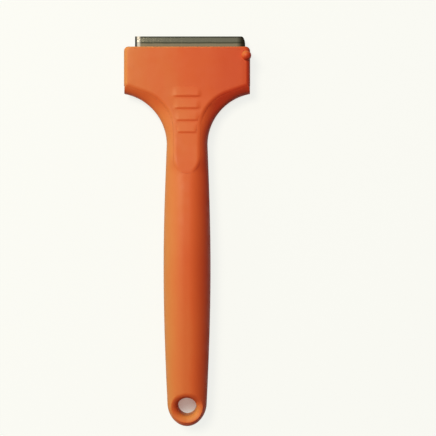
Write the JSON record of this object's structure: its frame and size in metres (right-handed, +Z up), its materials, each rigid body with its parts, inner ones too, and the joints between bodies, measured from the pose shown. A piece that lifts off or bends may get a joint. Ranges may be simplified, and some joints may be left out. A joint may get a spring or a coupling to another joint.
{
  "type": "razor blade scraper",
  "caption": "T-shaped hand scraper: rounded moulded grip with a hang hole, ribbed thumb tongue and a sprung rocking jaw that pinches a slide-in single-edge blade.",
  "frame": {"origin": "middle of the footprint of the tool as it lies on its flat back", "axes": "+Y along the handle towards the cutting edge, +X to the right seen from the front face, +Z up out of the front face"},
  "size_m": [0.0438, 0.1344, 0.0126],
  "materials": {
    "handle_plastic": "injection-moulded orange polypropylene, satin",
    "plate_plastic": "injection-moulded orange polypropylene, fine matt",
    "jaw_plastic": "injection-moulded orange polypropylene, satin",
    "pin_steel": "drawn steel wire",
    "spring_steel": "drawn spring wire",
    "blade_steel": "ground carbon steel, lightly oiled",
    "spine_steel": "rolled and folded bright steel"
  },
  "bodies": {
    "handle": {"handle": "handle_plastic", "back_plate": "plate_plastic", "hinge_pin": "pin_steel", "jaw_spring": "spring_steel"},
    "jaw": {"jaw_cover": "jaw_plastic"},
    "blade": {"blade": "blade_steel", "blade_spine": "spine_steel"}
  },
  "joints": [
    {"name": "jaw_hinge", "type": "hinge", "parent": "handle", "child": "jaw", "pos_m": [0, 0.02635, 0.00726], "axis": [1, 0, 0], "range_deg": [0, 12], "stiffness_Nm_per_rad": 0.02, "springref_deg": -28.65, "deforming": ["jaw_spring"]},
    {"name": "blade_slide", "type": "slide", "parent": "handle", "child": "blade", "axis": [0, 1, 0], "range_m": [0, 0.02]}
  ]
}
